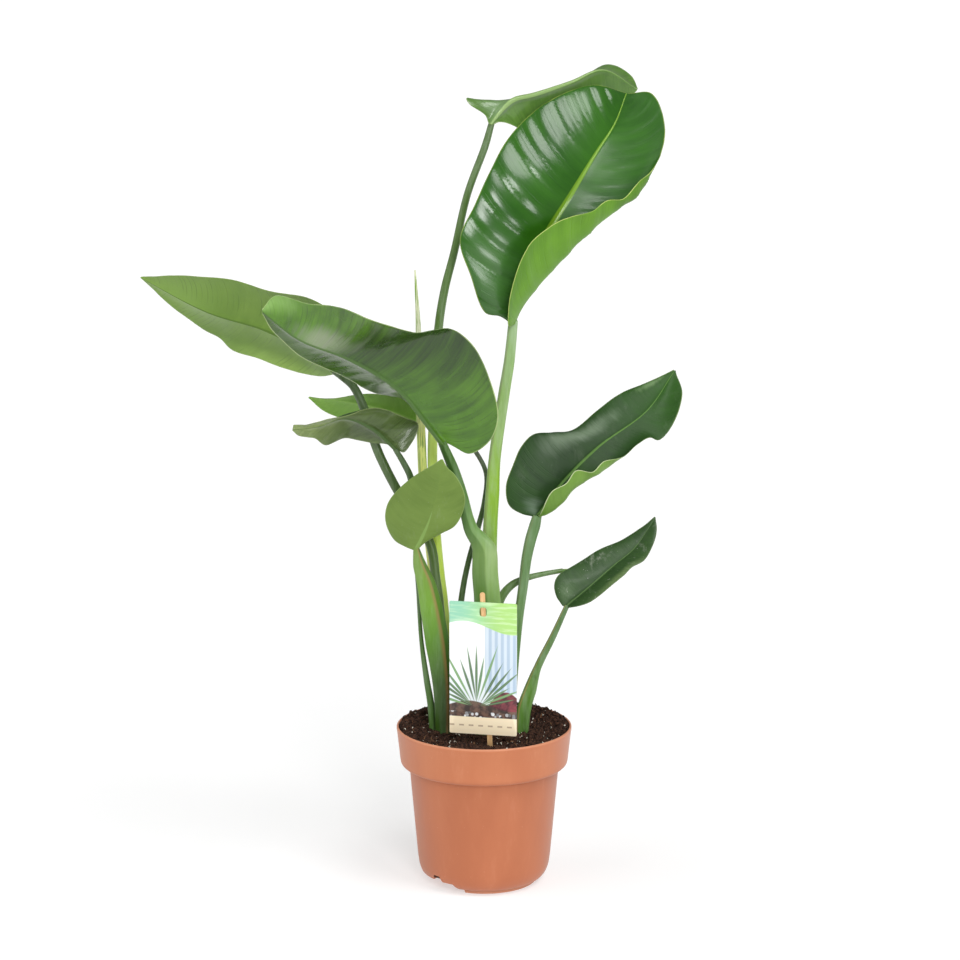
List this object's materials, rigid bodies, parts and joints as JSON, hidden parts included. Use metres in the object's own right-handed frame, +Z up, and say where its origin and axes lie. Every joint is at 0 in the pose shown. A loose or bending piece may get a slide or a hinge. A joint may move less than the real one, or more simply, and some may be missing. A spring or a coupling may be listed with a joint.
{
  "type": "potted bird of paradise plant",
  "caption": "Young bird of paradise plant with broad waved leaves on upright stalks, in a round tapered nursery pot with soil and a small picture card on a stick.",
  "frame": {"origin": "centre of the pot's underside, on the surface it stands on", "axes": "+Z up, +X to the right seen from the front, +Y away from the viewer in front"},
  "size_m": [0.526, 0.2691, 0.7874],
  "materials": {
    "glossy_leaf": "satin",
    "pale_leaf": "satin",
    "dull_leaf": "satin",
    "stalk": "satin",
    "sheath": "satin",
    "pot": "satin",
    "soil": "matte",
    "card": "satin",
    "stick_wood": "matte"
  },
  "bodies": {
    "root": {"top_front_leaf": "glossy_leaf", "top_front_stalk": "stalk", "top_back_leaf": "pale_leaf", "top_back_stalk": "stalk", "far_left_leaf": "pale_leaf", "far_left_stalk": "stalk", "big_left_leaf": "pale_leaf", "big_left_stalk": "sheath", "upper_small_leaf": "pale_leaf", "upper_small_stalk": "stalk", "lower_small_leaf": "dull_leaf", "lower_small_stalk": "stalk", "front_cupped_leaf": "pale_leaf", "front_cupped_stalk": "sheath", "right_middle_leaf": "dull_leaf", "right_middle_stalk": "stalk", "right_low_leaf": "dull_leaf", "right_low_stalk": "stalk", "right_hidden_leaf": "dull_leaf", "right_hidden_stalk": "stalk", "spear": "sheath", "label_card": "card", "label_stick": "stick_wood", "pot": "pot", "soil": "soil"}
  },
  "joints": []
}
